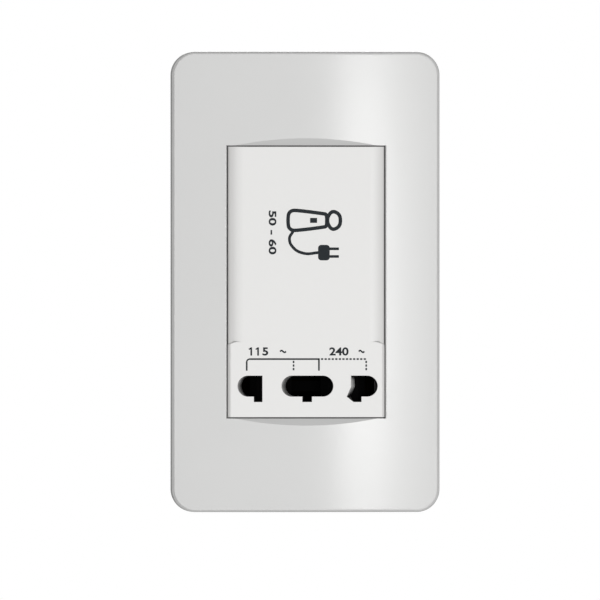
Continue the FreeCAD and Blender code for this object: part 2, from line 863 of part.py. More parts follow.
def make_plunger_spring():
    start = bridge_rear_y + spring_end_gap
    end = carrier_rear_y - carrier_wall - spring_end_gap
    base_z = entry_z - plunger_spring_width / 2
    points = [V(across, along, base_z) for along, across in fold_line(start, end, plunger_spring_half)]
    return strip_section(points, spring_strip).extrude(V(0, 0, plunger_spring_width))


def make_switch_contact(side):
    blade_x = sorted((side * (bridge_half + wiper_gap), side * (bridge_half + wiper_gap + wiper_strip)))
    foot_x = sorted((side * (bridge_half + wiper_gap), side * partition_x))
    z = (entry_z - bridge_height / 2, chamber_z[1])
    blade = block(blade_x, (wiper_front_y, wiper_rear_y), z)
    foot = block(foot_x, (wiper_rear_y - wiper_foot, wiper_rear_y), (z[1] - wiper_strip, z[1]))
    return blade.fuse(foot).removeSplitter()


def make_terminal(side):
    x = side * terminal_x
    dx, dy, dz = terminal_size
    y = (terminal_rear_y - dy, terminal_rear_y)
    z1 = chamber_z[1]
    body = block((x - dx / 2, x + dx / 2), y, (z1 - dz, z1))
    body = body.cut(rod(terminal_bore_r, V(x, y[0] - 1, terminal_bore_z), V(x, y[1] + 1, terminal_bore_z)))
    mid_y = sum(y) / 2
    hole = rod(terminal_screw_r + running_gap, V(x, mid_y, z1 - dz - 1), V(x, mid_y, terminal_bore_z))
    return body.cut(hole)


def make_terminal_screws():
    screws = []
    y = terminal_rear_y - terminal_size[1] / 2
    low = chamber_z[1] - terminal_size[2]
    for side in (-1, 1):
        x = side * terminal_x
        head = rod(terminal_head_r, V(x, y, low - terminal_head_height), V(x, y, low))
        shank = rod(terminal_screw_r, V(x, y, low), V(x, y, terminal_bore_z - terminal_bore_r / 2))
        slot = block(
            (x - terminal_head_r, x + terminal_head_r),
            (y - screw_slot_half, y + screw_slot_half),
            (low - terminal_head_height, low - terminal_head_height + screw_slot_depth),
        )
        screws.append(head.fuse(shank).cut(slot).removeSplitter())
    return Part.makeCompound(screws)


outer_contact_x = (partition_x + carrier_wall + contact_side_gap, carrier_half_w - contact_side_gap)
centre_contact_x = (-partition_x + contact_side_gap, partition_x - contact_side_gap)

nodes = {
    "cover_plate": make_cover_plate(),
    "mounting_frame": make_mounting_frame(),
    "front_cover": make_front_cover(),
    "rear_housing": make_rear_housing(),
    "core_e_stack": make_core_e_stack(),
    "core_i_stack": make_core_i_stack(),
    "bobbin": make_bobbin(),
    "primary_winding": make_winding(-1),
    "secondary_winding": make_winding(1),
    "primary_tape": make_tape(-1),
    "secondary_tape": make_tape(1),
    "thermal_cutout": make_thermal_cutout(),
    "contact_carrier": make_contact_carrier(),
    "shutter": make_shutter(),
    "shutter_spring_left": make_shutter_spring(-1),
    "shutter_spring_right": make_shutter_spring(1),
    "contact_115v": make_contact((-outer_contact_x[1], -outer_contact_x[0]), False),
    "contact_common": make_contact(centre_contact_x, True),
    "contact_240v": make_contact(outer_contact_x, False),
    "switch_plunger": make_switch_plunger(),
    "bridge_contact": make_bridge_contact(),
    "plunger_spring": make_plunger_spring(),
    "switch_contact_line": make_switch_contact(-1),
    "switch_contact_load": make_switch_contact(1),
    "terminal_line": make_terminal(-1),
    "terminal_neutral": make_terminal(1),
    "terminal_screws": make_terminal_screws(),
}

os.makedirs("parts", exist_ok=True)
for name, shape in nodes.items():
    shape.exportStep(f"parts/{name}.step")
    print(name, shape.isValid(), len(shape.Solids), round(shape.Volume, 2))
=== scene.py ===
import json
import math
import bmesh
import bpy
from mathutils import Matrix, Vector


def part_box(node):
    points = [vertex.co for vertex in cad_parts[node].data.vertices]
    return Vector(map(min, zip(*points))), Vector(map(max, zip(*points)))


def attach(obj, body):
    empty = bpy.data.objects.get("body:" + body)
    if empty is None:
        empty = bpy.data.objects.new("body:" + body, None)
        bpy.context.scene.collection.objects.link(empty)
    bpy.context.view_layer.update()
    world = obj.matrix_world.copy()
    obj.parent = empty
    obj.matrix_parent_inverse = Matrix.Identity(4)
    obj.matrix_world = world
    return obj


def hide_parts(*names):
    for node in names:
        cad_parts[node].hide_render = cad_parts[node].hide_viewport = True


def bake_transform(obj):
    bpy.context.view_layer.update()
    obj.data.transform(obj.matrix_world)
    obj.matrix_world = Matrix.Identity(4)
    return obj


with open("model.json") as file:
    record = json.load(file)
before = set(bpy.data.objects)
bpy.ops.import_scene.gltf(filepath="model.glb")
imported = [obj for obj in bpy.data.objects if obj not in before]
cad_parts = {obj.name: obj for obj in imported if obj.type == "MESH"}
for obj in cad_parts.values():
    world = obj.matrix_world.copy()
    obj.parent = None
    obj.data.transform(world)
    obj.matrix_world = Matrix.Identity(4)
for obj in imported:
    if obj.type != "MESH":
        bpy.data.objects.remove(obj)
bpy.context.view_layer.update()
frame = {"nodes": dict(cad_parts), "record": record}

mm = 0.001
past = 1        # how far a cutter reaches past what it cuts, in millimetres
overlap = 0.5        # how far pieces that are joined run into each other
hair = 0.001        # keeps two faces just apart
close = 0.01        # places nearer to each other than this count as one
print("frame loaded")


# Small helpers for work in edit mode
def startFresh():
    if bpy.context.mode != "OBJECT":
        bpy.ops.object.mode_set(mode="OBJECT")
    bpy.ops.object.select_all(action="DESELECT")


def makeActive(obj):
    startFresh()
    obj.select_set(True)
    bpy.context.view_layer.objects.active = obj


def settle(obj, name):
    makeActive(obj)
    obj.name = name
    obj.data.name = name
    bpy.ops.object.transform_apply(location=True, rotation=True, scale=True)
    return obj


def addBlock(name, x, y, z):        # spans in millimetres
    startFresh()
    middle = [sum(span) / 2 * mm for span in (x, y, z)]
    bpy.ops.mesh.primitive_cube_add(size=1, location=middle)
    obj = bpy.context.object
    obj.scale = [(span[1] - span[0]) * mm for span in (x, y, z)]
    return settle(obj, name)


def editSelect(obj, kind, test):
    makeActive(obj)
    bpy.ops.object.mode_set(mode="EDIT")
    bpy.ops.mesh.select_mode(type=kind)
    bpy.ops.mesh.select_all(action="DESELECT")
    mesh = bmesh.from_edit_mesh(obj.data)
    items = {"VERT": mesh.verts, "EDGE": mesh.edges, "FACE": mesh.faces}[kind]
    for item in items:
        if test(item):
            item.select = True
    mesh.select_flush_mode()
    bmesh.update_edit_mesh(obj.data)


def leaveEdit():
    bpy.ops.object.mode_set(mode="OBJECT")


def bevelWhere(obj, test, width, segments):
    editSelect(obj, "EDGE", test)
    bpy.ops.mesh.bevel(offset=width * mm, segments=segments, profile=0.5, affect="EDGES", clamp_overlap=True)
    leaveEdit()


def moveWhere(obj, test, shift):
    editSelect(obj, "VERT", test)
    bpy.ops.transform.translate(value=[s * mm for s in shift])
    leaveEdit()


def applyModifier(obj, kind, **settings):
    makeActive(obj)
    modifier = obj.modifiers.new(kind, kind)
    for name, value in settings.items():
        setattr(modifier, name, value)
    bpy.ops.object.modifier_apply(modifier=modifier.name)


def combine(obj, other, operation="DIFFERENCE"):
    applyModifier(obj, "BOOLEAN", operation=operation, solver="EXACT", object=other)
    bpy.data.objects.remove(other, do_unlink=True)


def pushOn(shift):        # extrudes what is selected
    bpy.ops.mesh.extrude_region_move(TRANSFORM_OT_translate={"value": tuple(s * mm for s in shift)})


def turnNormalsOut():
    bpy.ops.mesh.select_all(action="SELECT")
    bpy.ops.mesh.normals_make_consistent(inside=False)


def mirrorCopy(obj, name):        # the same piece on the other side of x = 0
    makeActive(obj)
    bpy.ops.object.duplicate()
    copy = bpy.context.object
    copy.scale = (-1, 1, 1)
    settle(copy, name)
    bpy.ops.object.mode_set(mode="EDIT")
    turnNormalsOut()
    leaveEdit()
    return copy


def addDisc(name, sides, radius, place, upright=False):        # a flat face, level or across Y
    startFresh()
    bpy.ops.mesh.primitive_circle_add(
        vertices=sides, radius=radius * mm, fill_type="NGON", location=[c * mm for c in place],
        rotation=(math.radians(90) if upright else 0, 0, 0),
    )
    return settle(bpy.context.object, name)


def makeArcPoints(centreX, centreZ, radius, fromAngle, toAngle, steps):
    turns = [math.radians(fromAngle + (toAngle - fromAngle) * i / steps) for i in range(steps + 1)]
    return [(centreX + radius * math.cos(turn), centreZ + radius * math.sin(turn)) for turn in turns]


def joinInto(obj, others):
    makeActive(obj)
    for other in others:
        other.select_set(True)
    bpy.ops.object.join()


def tidyMesh(obj, angle):
    makeActive(obj)
    bpy.ops.object.mode_set(mode="EDIT")
    bpy.ops.mesh.select_all(action="SELECT")
    bpy.ops.mesh.remove_doubles(threshold=0.002 * mm)
    bpy.ops.mesh.dissolve_degenerate(threshold=0.001 * mm)
    leaveEdit()
    bpy.ops.object.shade_smooth_by_angle(angle=math.radians(angle))
    applyModifier(obj, "WEIGHTED_NORMAL", keep_sharp=True)        # flat faces stay flat beside small rounds


def paint(obj, finish):
    obj.data.materials.clear()
    obj.data.materials.append(finish)


def alongY(edge):
    a, b = (v.co for v in edge.verts)
    return abs(a.x - b.x) < 1e-7 and abs(a.z - b.z) < 1e-7


def near(value, target):        # value in metres, target in millimetres
    return abs(value - target * mm) < close * mm


# Small helpers for shader nodes
def setSockets(inputs, values):        # another node's socket is linked, and anything else is set
    for name, value in values.items():
        if isinstance(value, bpy.types.NodeSocket):
            inputs[name].id_data.links.new(value, inputs[name])
        else:
            inputs[name].default_value = value


def addNode(nodes, kind, values=None, **settings):
    node = nodes.new("ShaderNode" + kind)
    for name, value in settings.items():
        setattr(node, name, value)
    setSockets(node.inputs, values or {})
    return node.outputs


def addMath(nodes, operation, *values):
    return addNode(nodes, "Math", dict(enumerate(values)), operation=operation)[0]


def addNoise(nodes, place, scale, detail):
    return addNode(nodes, "TexNoise", {"Vector": place, "Scale": scale, "Detail": detail})["Fac"]


def mixColors(nodes, factor, first, second, blend="MIX"):
    values = {"Factor": factor, "A": first, "B": second}
    return addNode(nodes, "Mix", values, data_type="RGBA", blend_type=blend)["Result"]


def startMaterial(name):
    material = bpy.data.materials.new(name)
    material.use_nodes = True
    nodes = material.node_tree.nodes
    return material, nodes, nodes["Principled BSDF"].inputs


def startGroup(name, sockets):
    group = bpy.data.node_groups.new(name, "ShaderNodeTree")
    results = {"Color": "Color", "Roughness": "Float", "Normal": "Vector"}
    for way, wanted in (("INPUT", sockets), ("OUTPUT", results)):
        for socket, kind in wanted.items():
            group.interface.new_socket(socket, in_out=way, socket_type="NodeSocket" + kind)
    nodes = group.nodes
    inputs, outputs = nodes.new("NodeGroupInput").outputs, nodes.new("NodeGroupOutput").inputs
    return group, nodes, inputs, outputs, addNode(nodes, "TexCoord")["Object"]


def makePlain(name, shade, roughness):        # an even grey for the stage
    material, nodes, shader = startMaterial(name)
    setSockets(shader, {"Base Color": (shade, shade, shade, 1), "Roughness": roughness})
    return material


# Shared shader group: a fine moulded texture with a slow drift in gloss and shade
moulded = {
    "grainDetail": 3,
    "grainHeight": 0.05,
    "driftScale": 60,
    "driftDetail": 4,
    "shadeDrift": 0.04,
}


def makeMouldedGroup():
    group, nodes, inputs, outputs, place = startGroup("mouldedSurface", {
        "Grain Size": "Float", "Grain Depth": "Float", "Roughness": "Float", "Drift": "Float",
        "Color": "Color",
    })
    grain = addNoise(nodes, place, inputs["Grain Size"], moulded["grainDetail"])
    slow = addNoise(nodes, place, moulded["driftScale"], moulded["driftDetail"])
    bump = addNode(nodes, "Bump", {
        "Height": grain, "Strength": inputs["Grain Depth"], "Distance": moulded["grainHeight"] * mm,
    })
    centred = addMath(nodes, "SUBTRACT", slow, 0.5)
    spread = addMath(nodes, "MULTIPLY_ADD", centred, inputs["Drift"], inputs["Roughness"])
    shade = addMath(nodes, "MULTIPLY_ADD", centred, moulded["shadeDrift"], 1)
    tint = addNode(nodes, "HueSaturation", {"Value": shade, "Color": inputs["Color"]})
    setSockets(outputs, {"Color": tint["Color"], "Roughness": spread, "Normal": bump["Normal"]})
    return group


mouldedGroup = makeMouldedGroup()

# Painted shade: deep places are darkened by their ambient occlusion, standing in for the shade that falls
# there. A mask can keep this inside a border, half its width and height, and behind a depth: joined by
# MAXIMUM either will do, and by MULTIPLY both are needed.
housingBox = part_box("rear_housing")
housingMargin = 0.6
recess = {
    "samples": 16,
    "darkFrom": 0.65,
    "clearFrom": 0.95,
    "darkest": 0.002,
    "border": 0.4,
    "plateWindow": (22, 37),
    "entryPanel": (19.4, 32.4),
    "faceY": -7.2,
    "housingInside": tuple(housingBox[1][axis] / mm - housingMargin for axis in (0, 2)),
    "housingY": -20,
}


def makeRangeMask(nodes, value, start, end):        # 0 before start and 1 after end, both in millimetres
    span = {"Value": value, "From Min": start * mm, "From Max": end * mm}
    return addNode(nodes, "MapRange", span)["Result"]


# painted shade: the colour is multiplied darker, down to near black, where ambient occlusion finds the
# surface closed in
def shadeRecesses(nodes, color, reach, within=None, behind=0, join="MAXIMUM"):
    closeness = addNode(nodes, "AmbientOcclusion", {"Distance": reach * mm}, samples=recess["samples"])
    ramp = addNode(nodes, "ValToRGB", {"Fac": closeness["AO"]})["Color"]
    dark, clear = ramp.node.color_ramp.elements
    dark.position, dark.color = recess["darkFrom"], (*[recess["darkest"]] * 3, 1)
    clear.position, clear.color = recess["clearFrom"], (1, 1, 1, 1)
    factor = 1
    if within:
        border = recess["border"]
        apart = addNode(nodes, "SeparateXYZ", {"Vector": addNode(nodes, "TexCoord")["Object"]})
        masks = [
            makeRangeMask(nodes, addMath(nodes, "ABSOLUTE", apart[axis]), limit, limit - border)
            for axis, limit in zip("XZ", within)
        ]
        deep = makeRangeMask(nodes, apart["Y"], behind - border, behind)
        factor = addMath(nodes, join, addMath(nodes, "MULTIPLY", *masks), deep)
    return mixColors(nodes, factor, color, ramp, "MULTIPLY")


def makeMoulded(
    name, color, roughness, grainSize=3000, grainDepth=0.1, drift=0.05, metallic=0, specular=0.5,
    shadeReach=0, within=None, behind=0, join="MAXIMUM",
):
    material, nodes, shader = startMaterial(name)
    surface = addNode(nodes, "Group", {
        "Grain Size": grainSize, "Grain Depth": grainDepth, "Roughness": roughness, "Drift": drift,
        "Color": (*color, 1),
    }, node_tree=mouldedGroup)
    shown = surface["Color"]
    # painted shade in recesses, from ambient occlusion
    if shadeReach:
        shown = shadeRecesses(nodes, shown, shadeReach, within, behind, join)
    setSockets(shader, {
        "Base Color": shown, "Roughness": surface["Roughness"], "Normal": surface["Normal"],
        "Metallic": metallic, "Specular IOR Level": specular,
    })
    return material


# Shared shader group: fine grooves across one axis, for stacked sheets, wound wire and wrapped tape
grooved = {
    "unevenScale": 160,
    "unevenDetail": 2,
    "height": 0.15,
    "shadeLow": 0.75,
    "shadeDrift": 0.5,
    "glossDrift": 0.15,
    "coatRoughness": 0.2,
}


def makeGroovedGroup():
    group, nodes, inputs, outputs, place = startGroup("groovedSurface", {
        "Axis": "Vector", "Pitch": "Float", "Depth": "Float", "Wobble": "Float", "Roughness": "Float",
        "Color": "Color", "Groove Color": "Color",
    })
    uneven = addNoise(nodes, place, grooved["unevenScale"], grooved["unevenDetail"])
    along = addNode(nodes, "VectorMath", {0: place, 1: inputs["Axis"]}, operation="DOT_PRODUCT")["Value"]
    count = addMath(nodes, "DIVIDE", along, inputs["Pitch"])
    shifted = addMath(nodes, "MULTIPLY_ADD", uneven, inputs["Wobble"], count)
    wave = addMath(nodes, "PINGPONG", shifted, 0.5)
    crest = addMath(nodes, "SINE", addMath(nodes, "MULTIPLY", wave, math.pi))
    bump = addNode(nodes, "Bump", {
        "Height": crest, "Strength": inputs["Depth"], "Distance": grooved["height"] * mm,
    })
    blend = mixColors(nodes, crest, inputs["Groove Color"], inputs["Color"])
    shade = addMath(nodes, "MULTIPLY_ADD", uneven, grooved["shadeDrift"], grooved["shadeLow"])
    tint = addNode(nodes, "HueSaturation", {"Value": shade, "Color": blend})
    gloss = addMath(nodes, "MULTIPLY_ADD", uneven, grooved["glossDrift"], inputs["Roughness"])
    setSockets(outputs, {"Color": tint["Color"], "Roughness": gloss, "Normal": bump["Normal"]})
    return group


groovedGroup = makeGroovedGroup()


def makeGrooved(
    name, color, grooveColor, axis, pitch, roughness, depth=0.5, wobble=0.2, metallic=0, coat=0, specular=0.5
):
    material, nodes, shader = startMaterial(name)
    surface = addNode(nodes, "Group", {
        "Axis": axis, "Pitch": pitch * mm, "Depth": depth, "Wobble": wobble, "Roughness": roughness,
        "Color": (*color, 1), "Groove Color": (*grooveColor, 1),
    }, node_tree=groovedGroup)
    setSockets(shader, {
        "Base Color": surface["Color"], "Roughness": surface["Roughness"], "Normal": surface["Normal"],
        "Metallic": metallic, "Coat Weight": coat, "Coat Roughness": grooved["coatRoughness"],
        "Specular IOR Level": specular,
    })
    return material


# Rolled strip and drawn wire: long streaks with a little dullness here and there
drawn = {
    "streakDetail": 4,
    "streakStrength": 0.25,
    "streakHeight": 0.02,
    "patchScale": 220,
    "patchDetail": 5,
    "patchRange": (0.45, 0.75),
    "glossRange": (-0.1, 0.15),
}


def makeDrawnMetal(name, color, dullColor, roughness, streak, shadeReach=0):
    material, nodes, shader = startMaterial(name)
    place = addNode(nodes, "TexCoord")["Object"]
    stretched = addNode(nodes, "Mapping", {"Vector": place, "Scale": streak})["Vector"]
    streaks = addNoise(nodes, stretched, 1, drawn["streakDetail"])
    patches = addNoise(nodes, place, drawn["patchScale"], drawn["patchDetail"])
    low, high = drawn["patchRange"]
    fade = addNode(nodes, "MapRange", {"Value": patches, "From Min": low, "From Max": high})["Result"]
    low, high = (roughness + step for step in drawn["glossRange"])
    gloss = addNode(nodes, "MapRange", {"Value": streaks, "To Min": low, "To Max": high})["Result"]
    bump = addNode(nodes, "Bump", {
        "Height": streaks, "Strength": drawn["streakStrength"], "Distance": drawn["streakHeight"] * mm,
    })["Normal"]
    shown = mixColors(nodes, fade, (*color, 1), (*dullColor, 1))
    # painted shade in recesses, from ambient occlusion
    if shadeReach:
        shown = shadeRecesses(nodes, shown, shadeReach)
    setSockets(shader, {"Base Color": shown, "Roughness": gloss, "Normal": bump, "Metallic": 1})
    return material


finishes = {
    # painted shade darkens the plate's window walls and the gap round the insert
    "plate_shell": makeMoulded(
        "pearlSilver", (0.497, 0.497, 0.492), 0.18, grainSize=9000, grainDepth=0.04, metallic=0.08, shadeReach=5,
        within=recess["plateWindow"], behind=recess["faceY"], join="MULTIPLY",
    ),
    # painted shade darkens the pin entries' lead-ins and other recesses of the face
    "insert_shell": makeMoulded(
        "insertWhite", (0.61, 0.606, 0.596), 0.36, grainSize=5000, grainDepth=0.15, specular=1.0, shadeReach=5,
        within=recess["entryPanel"], behind=recess["faceY"],
    ),
    "frame_plastic": makeMoulded(
        "frameGrey", (0.30, 0.31, 0.32), 0.5, grainSize=1800, grainDepth=0.5, drift=0.2,
    ),
    # painted shade darkens the housing's inner recesses
    "housing_plastic": makeMoulded(
        "housingWhite", (0.62, 0.62, 0.59), 0.45, grainSize=1500, grainDepth=0.5, drift=0.2, shadeReach=30,
        within=recess["housingInside"], behind=recess["housingY"], join="MULTIPLY",
    ),
    "carrier_plastic": makeMoulded("carrierBlack", (0.003, 0.003, 0.003), 0.6, grainDepth=0.3, specular=0.03),
    "shutter_plastic": makeMoulded("shutterBlack", (0.002, 0.002, 0.002), 0.6, grainDepth=0.3, specular=0.01),
    "core_steel": makeGrooved(
        "coreSteel", (0.16, 0.165, 0.175), (0.02, 0.018, 0.016), (0, 1, 0), 0.5, 0.35, wobble=0.1,
        metallic=0.8,
    ),
    "bobbin_plastic": makeMoulded(
        "bobbinBlack", (0.018, 0.018, 0.02), 0.4, grainSize=2500, grainDepth=0.3, drift=0.2,
    ),
    "winding_copper": makeGrooved(
        "windingCopper", (0.62, 0.19, 0.06), (0.10, 0.02, 0.006), (1, 0, 0), 0.35, 0.22, depth=0.9,
        metallic=0.85, coat=0.4,
    ),
    "winding_tape": makeGrooved(
        "windingTape", (0.72, 0.47, 0.05), (0.52, 0.32, 0.03), (1, 0, 0), 6.1, 0.28, depth=0.15, wobble=0.05,
        specular=0.6,
    ),
    # painted shade darkens the contacts deep inside the socket
    "contact_brass": makeDrawnMetal(
        "contactBrass", (0.62, 0.42, 0.15), (0.34, 0.21, 0.08), 0.32, (80, 900, 6000), shadeReach=12,
    ),
    "spring_steel": makeDrawnMetal(
        "springSteel", (0.50, 0.50, 0.51), (0.30, 0.30, 0.31), 0.28, (300, 6000, 6000),
    ),
}
inkFinish = makeMoulded("printedSlate", (0.013, 0.017, 0.020), 0.5, grainDepth=0.1, specular=0.1)

for part in frame["record"]["subparts"]:
    node = frame["nodes"][part["node"]]
    for obj in node if isinstance(node, (list, tuple)) else [node]:
        for slot in obj.material_slots:
            slot.material = finishes[part["material_slot"]]
print("materials made")


# Cover plate: a convex shell with a window, two slanted facets and four pegs
plate = {
    "width": 70.0,
    "height": 120.0,
    "cornerRadius": 6.0,
    "rimY": -6.0,
    "crownY": -9.0,
    "wall": 2.0,
    "edgeRadius": 0.75,
    "edgeSteps": 8,
    "edgeBorder": 0.15,
    "cornerSteps": 24,
    "stripWidth": 0.7,
    "windowWidth": 41.4,
    "windowHeight": 71.2,
    "windowEdgeRadius": 0.32,
    "windowBorder": 0.1,
    "facetRise": 1.85,
    "facetHalfWidth": 18.4,
    "pegX": 24.0,
    "pegZ": 50.5,
    "pegWidth": 4.0,
    "pegThickness": 1.6,
    "pegTipY": -0.5,
    "pegEdge": 0.25,
}
plateSag = plate["rimY"] - plate["crownY"]
plateRadius = ((plate["width"] / 2) ** 2 + plateSag**2) / (2 * plateSag)


def crownAt(x, crownY, radius):
    return crownY + radius - math.sqrt(radius**2 - x**2)


def insetFront(obj, thickness, depth):        # the front face shrinks and steps forward
    editSelect(obj, "FACE", lambda face: face.normal.y < -0.99 and len(face.verts) > 4)
    bpy.ops.mesh.inset(thickness=thickness * mm, depth=depth * mm, use_even_offset=True)
    leaveEdit()


def roundFront(obj, reach, rise, steps):        # the front's edge is rounded ring by ring
    for i in range(steps):
        a, b = (math.radians(90 * k / steps) for k in (i, i + 1))
        insetFront(obj, reach * (math.cos(a) - math.cos(b)), rise * (math.sin(b) - math.sin(a)))


def makeProfileCutter(name, profile, z):        # a flat outline in x and y, pushed upwards
    cutter = addDisc(name, len(profile), 1, (0, 0, z[0]))
    for vert, (x, y) in zip(cutter.data.vertices, profile):
        vert.co.x, vert.co.y = x * mm, y * mm
    editSelect(cutter, "FACE", lambda face: True)
    pushOn((0, 0, z[1] - z[0]))
    turnNormalsOut()
    leaveEdit()
    return cutter


def makeWindowRounding():        # what is taken off the window's right edge
    radius, steps = plate["windowEdgeRadius"], plate["edgeSteps"]
    windowX, windowZ = plate["windowWidth"] / 2, plate["windowHeight"] / 2
    middleX = windowX + radius
    slope = math.atan(middleX / math.sqrt(plateRadius**2 - middleX**2))
    middleY = crownAt(middleX, plate["crownY"], plateRadius) + radius / math.cos(slope)
    turns = [slope - (slope + math.pi / 2) * i / steps for i in range(steps + 1)]
    profile = [(middleX + radius * math.sin(turn), middleY - radius * math.cos(turn)) for turn in turns]
    frontY = middleY - radius - past
    profile += [(windowX - overlap, middleY), (windowX - overlap, frontY), (profile[0][0], frontY)]
    return makeProfileCutter("windowRounding", profile, (-windowZ, windowZ))


def makeConvexSlab(name, halfWidth, halfHeight, corner, crownY, backY, radius, edgeRadius=0, cutsAt=()):
    slab = addBlock(name, (-halfWidth, halfWidth), (crownY + edgeRadius, backY), (-halfHeight, halfHeight))
    bevelWhere(slab, alongY, corner, plate["cornerSteps"])
    if edgeRadius:
        roundFront(slab, edgeRadius, edgeRadius, plate["edgeSteps"])
        insetFront(slab, plate["edgeBorder"], 0)
    count = int(halfWidth / plate["stripWidth"])
    cuts = [k * plate["stripWidth"] for k in range(-count, count + 1)] + list(cutsAt)
    makeActive(slab)
    bpy.ops.object.mode_set(mode="EDIT")
    for x in cuts:
        bpy.ops.mesh.select_all(action="SELECT")
        bpy.ops.mesh.bisect(plane_co=(x * mm, 0, 0), plane_no=(1, 0, 0), threshold=1e-7)
    leaveEdit()
    frontDepth = (crownY + edgeRadius + close) * mm
    for vert in slab.data.vertices:        # roll the front round the upright axis
        if vert.co.y < frontDepth:
            vert.co.y += crownAt(vert.co.x / mm, 0, radius) * mm
    return slab


def makeCoverPlate():
    halfW, halfH = plate["width"] / 2, plate["height"] / 2
    windowX, windowZ = plate["windowWidth"] / 2, plate["windowHeight"] / 2
    besideWindow = windowX + plate["windowEdgeRadius"] + plate["windowBorder"]
    shell = makeConvexSlab(
        "coverPlateShell", halfW, halfH, plate["cornerRadius"], plate["crownY"], 0, plateRadius,
        plate["edgeRadius"], (-besideWindow, besideWindow),
    )
    wall = plate["wall"]
    combine(shell, makeConvexSlab(
        "hollow", halfW - wall, halfH - wall, plate["cornerRadius"] - wall,
        plate["crownY"] + wall, wall, plateRadius - wall,
    ))
    window = addBlock("window", (-windowX, windowX), (plate["crownY"] - past, wall), (-windowZ, windowZ))
    combine(shell, window)
    rounding = makeWindowRounding()
    otherRounding = mirrorCopy(rounding, "otherRounding")
    combine(shell, rounding)
    combine(shell, otherRounding)
    facetY = crownAt(plate["facetHalfWidth"], plate["crownY"], plateRadius)
    fall = facetY - plate["crownY"]
    for side in (-1, 1):
        innerZ, outerZ = side * windowZ, side * (windowZ + 2 * plate["facetRise"])
        span = sorted((innerZ - side, outerZ))
        wedge = addBlock("wedge", (-windowX, windowX), (facetY - 2 * fall, facetY), span)
        moveWhere(
            wedge,
            lambda v: near(v.co.z, outerZ) and near(v.co.y, facetY),
            (0, 0, innerZ - outerZ),
        )
        combine(shell, wedge)
    tidyMesh(shell, 15)
    return shell


def makePegs():
    rootY = crownAt(plate["pegX"], plate["crownY"] + plate["wall"], plateRadius - plate["wall"])
    halfX, halfZ, tipY = plate["pegWidth"] / 2, plate["pegThickness"] / 2, plate["pegTipY"]
    pegs = []
    for sx in (-1, 1):
        for sz in (-1, 1):
            x, z = sx * plate["pegX"], sz * plate["pegZ"]
            peg = addBlock("peg", (x - halfX, x + halfX), (rootY - overlap, tipY), (z - halfZ, z + halfZ))
            bevelWhere(peg, lambda e: all(near(v.co.y, tipY) for v in e.verts), plate["pegEdge"], 2)
            pegs.append(peg)
    return pegs


coverPlate = makeCoverPlate()
joinInto(coverPlate, makePegs())
paint(coverPlate, finishes["plate_shell"])
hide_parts("cover_plate")
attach(coverPlate, "socket")
print("cover plate made")


# Insert: the face with its three pin entries, and the skirt behind it
insert = {
    "width": 41.0,
    "height": 70.5,
    "faceY": -8.6,
    "skirtEndY": 6.0,
    "shoulderWidth": 4.2,
    "shoulderDrop": 0.95,
    "sideRadius": 0.95,
    "endRadius": 0.12,
    "innerX": 18.7,
    "innerZ": 33.6,
    "upperThickness": 2.2,
    "socketThickness": 4.2,
    "panelTopZ": -15.3,
    "panelCornerRadius": 4.2,
    "panelCornerCut": 2.8,
    "panelEdge": 0.4,
    "panelEdgeSteps": 5,
    "panelFootZ": -40,
    "panelDepth": 5,
    "shoulderFoot": 6,
    "shoulderSteps": 24,
    "sideSteps": 8,
    "ledgeReach": 0.8,
    "ledgeY": (-5.7, -4.8),
    "postX": (14.5, 17.5),
    "postZ": (-7.4, 30.6),
    "postEndY": 11.0,
    "postSize": 3.0,
    "postEdge": 0.3,
    "tongueX": 19.55,
    "tongueZ": 34.45,
    "tongueY": 3.0,
    "catchZ": 12.0,
    "catchLength": 7.0,
    "catchY": (0.15, 2.35),
    "catchReach": 1.0,
    "catchRoot": 0.8,
    "catchTaper": 0.98,
    "catchEdge": 0.15,
    "armSlot": 0.5,
    "armGap": 0.05,
    "armFrontY": -4.2,
    "lugWindowY": (3.75, 5.35),
    "lugWindowZ": (19.8, 24.2),
    "lugWindowInset": 0.3,
}
entries = {
    "z": -27.15,
    "radius": 2.74,
    "roundSides": 96,
    "bottomZ": -31.3,
    "bladeTopZ": -28.15,
    "left": (-17.95, -11.45),
    "centre": (-6.47, 7.07),
    "right": (11.65, 18.65),
    "leftBlade": (-13.7, -11.45),
    "centreBlade": (-1.04, 1.49),
    "rightBlade": (12.35, 14.42),
    "slantStartZ": -27.4,
    "slantCorner": (10.55, -29.9),
    "leadInDepth": 3.0,
    "leadIn": 1.25,
    "bladeLeadIn": 0.75,
    "slantDepth": 1.9,
    "slantLeadIn": 1.1,
}


def extrudeBack(cutter, faceY, depth, through, shiftOf):        # front, lead-in, straight walls
    editSelect(cutter, "FACE", lambda face: True)
    pushOn((0, depth, 0))
    mesh = bmesh.from_edit_mesh(cutter.data)
    for vert in mesh.verts:
        if vert.select:
            vert.co.x += shiftOf(vert.co) * mm
    bmesh.update_edit_mesh(cutter.data)
    pushOn((0, through - depth, 0))
    leaveEdit()
    editSelect(cutter, "FACE", lambda face: all(near(v.co.y, faceY) for v in face.verts))
    pushOn((0, -past, 0))
    turnNormalsOut()
    leaveEdit()


def makeSlotCutter(x, flatRight, faceY):        # a stadium, or one with its right end cut square
    radius = entries["radius"]
    middle = x[0] + radius
    cutter = addDisc("slotCutter", entries["roundSides"], radius, (middle, faceY, entries["z"]), upright=True)
    moveWhere(cutter, lambda v: v.co.x > (middle + hair) * mm, (x[1] - x[0] - 2 * radius, 0, 0))
    if flatRight:
        editSelect(cutter, "VERT", lambda v: v.co.x > (x[1] - radius - hair / 2) * mm)
        bpy.ops.transform.resize(value=(0, 1, 1), center_override=(x[1] * mm, 0, 0))
        leaveEdit()
    return cutter


def makeOutlineCutter(name, outline, faceY):        # a flat face bent into shape, corner by corner
    cutter = addDisc(name, len(outline), 1, (0, faceY, 0), upright=True)
    for vert, (x, z) in zip(cutter.data.vertices, outline):
        vert.co.x, vert.co.z = x * mm, z * mm
    return cutter


